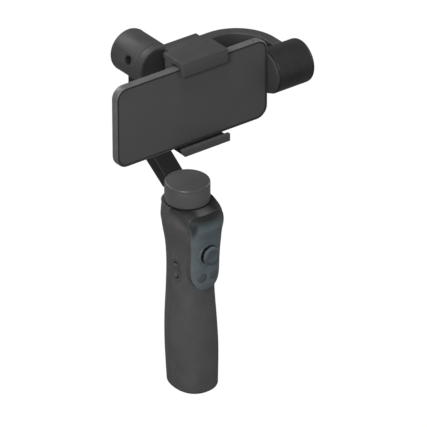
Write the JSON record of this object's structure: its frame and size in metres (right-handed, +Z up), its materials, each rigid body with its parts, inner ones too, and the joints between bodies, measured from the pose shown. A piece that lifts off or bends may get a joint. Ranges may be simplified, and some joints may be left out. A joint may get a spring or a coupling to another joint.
{
  "type": "handheld gimbal stabilizer",
  "caption": "Handheld three-axis motorised gimbal that holds a phone in a sprung clamp, with a balancing arm and a control handle.",
  "frame": {"origin": "mouth of the tripod socket at the handle's bottom, on the pan axis", "axes": "+Z up along the pan axis, -Y towards the user and the phone screen, +X towards the tilt motor, +Y towards the roll motor"},
  "size_m": [0.1847, 0.1162, 0.3096],
  "materials": {
    "handle_plastic": "soft matte",
    "control_plate": "dark blue-grey satin",
    "trim_dark": "matte",
    "inner_plastic": "moulded",
    "button_plastic": "matte",
    "rubber_black": "matte",
    "status_glass": "clear",
    "battery_wrap": "shrink film",
    "circuit_board": "solder mask",
    "brass_insert": "turned",
    "steel": "brushed",
    "black_steel": "blackened",
    "stator_steel": "laminated",
    "arm_metal": "fine satin paint",
    "clamp_plastic": "fine texture",
    "phone_frame": "satin grey",
    "phone_glass": "unlit satin",
    "lens_glass": "dark"
  },
  "bodies": {
    "handle": {"handle_front_shell": "handle_plastic", "handle_rear_shell": "handle_plastic", "control_plate": "control_plate", "thumbstick_ring": "control_plate", "thumbstick_module": "inner_plastic", "status_light": "status_glass", "zoom_slider_bezel": "handle_plastic", "battery_cell": "battery_wrap", "main_circuit_board": "circuit_board", "battery_holder": "inner_plastic", "button_switches": "inner_plastic", "bottom_cap": "trim_dark", "tripod_socket": "brass_insert", "charging_port": "inner_plastic", "shell_screws": "steel", "pan_stator": "stator_steel", "pan_bearing": "steel"},
    "thumbstick": {"thumbstick_cap": "button_plastic"},
    "mode_button": {"mode_button": "button_plastic"},
    "power_button": {"power_button": "button_plastic"},
    "zoom_slider": {"zoom_slider": "handle_plastic"},
    "charging_port_flap": {"charging_port_cover": "rubber_black"},
    "pan_frame": {"pan_shaft": "steel", "pan_drum": "arm_metal", "pan_drum_cap": "arm_metal", "pan_arm": "arm_metal", "pan_arm_cover": "trim_dark", "arm_cover_screws": "steel", "roll_motor_housing": "arm_metal", "roll_motor_end_cap": "arm_metal", "accessory_thread_insert": "black_steel", "roll_stator": "stator_steel", "roll_bearing": "steel"},
    "roll_frame": {"roll_shaft": "steel", "roll_arm_sleeve": "arm_metal", "roll_front_disc": "trim_dark"},
    "arm_lock": {"arm_lock_knob": "trim_dark"},
    "sliding_arm": {"roll_arm": "arm_metal", "tilt_motor_housing": "arm_metal", "tilt_motor_end_cap": "arm_metal", "tilt_stator": "stator_steel", "tilt_bearing": "steel", "tilt_port_cover": "rubber_black"},
    "tilt_frame": {"tilt_shaft": "steel", "clamp_bracket": "arm_metal", "bracket_screws": "steel", "clamp_back_plate": "clamp_plastic", "clamp_springs": "steel", "back_pad": "rubber_black", "lower_jaw": "clamp_plastic", "lower_jaw_pad": "rubber_black"},
    "upper_jaw": {"upper_jaw": "clamp_plastic", "upper_jaw_pad": "rubber_black", "clamp_guide_rods": "steel"},
    "phone": {"phone_body": "phone_frame", "phone_screen": "phone_glass", "phone_side_keys": "phone_frame", "phone_camera_island": "phone_frame", "phone_camera_lens": "lens_glass"}
  },
  "joints": [
    {"name": "pan", "type": "hinge", "parent": "handle", "child": "pan_frame", "pos_m": [0, 0, 0.17], "axis": [0, 0, 1], "continuous": true},
    {"name": "roll", "type": "hinge", "parent": "pan_frame", "child": "roll_frame", "pos_m": [0, 0.06, 0.27], "axis": [0, 1, 0], "range_deg": [-45, 50]},
    {"name": "arm_lock_turn", "type": "hinge", "parent": "roll_frame", "child": "arm_lock", "pos_m": [0.03, 0.037, 0.25], "axis": [0, 0, 1], "range_deg": [0, 180]},
    {"name": "arm_balance_slide", "type": "slide", "parent": "roll_frame", "child": "sliding_arm", "axis": [1, 0, 0], "range_m": [-0.01, 0.005]},
    {"name": "tilt", "type": "hinge", "parent": "sliding_arm", "child": "tilt_frame", "pos_m": [0.08, -0.0189, 0.27], "axis": [1, 0, 0], "range_deg": [-120, 120]},
    {"name": "jaw_slide", "type": "slide", "parent": "tilt_frame", "child": "upper_jaw", "axis": [0, 0, 1], "range_m": [0, 0.012], "stiffness_N_per_m": 300, "springref_m": -0.01, "deforming": ["clamp_springs"]},
    {"name": "phone_removal", "type": "slide", "parent": "tilt_frame", "child": "phone", "axis": [-1, 0, 0], "range_m": [0, 0.09]},
    {"name": "thumbstick_tilt", "type": "hinge", "parent": "handle", "child": "thumbstick", "pos_m": [0, -0.0232, 0.13], "axis": [1, 0, 0], "range_deg": [-10, 10], "stiffness_Nm_per_rad": 0.02},
    {"name": "mode_press", "type": "slide", "parent": "handle", "child": "mode_button", "axis": [0, 1, 0], "range_m": [0, 0.0008], "stiffness_N_per_m": 150},
    {"name": "power_press", "type": "slide", "parent": "handle", "child": "power_button", "axis": [0, 1, 0], "range_m": [0, 0.0008], "stiffness_N_per_m": 150},
    {"name": "zoom_slide", "type": "slide", "parent": "handle", "child": "zoom_slider", "axis": [0, 0, 1], "range_m": [-0.0015, 0.0015], "stiffness_N_per_m": 200},
    {"name": "port_flap", "type": "hinge", "parent": "handle", "child": "charging_port_flap", "pos_m": [0, 0.0171, 0.1036], "axis": [-1, 0, 0], "range_deg": [0, 100]}
  ]
}
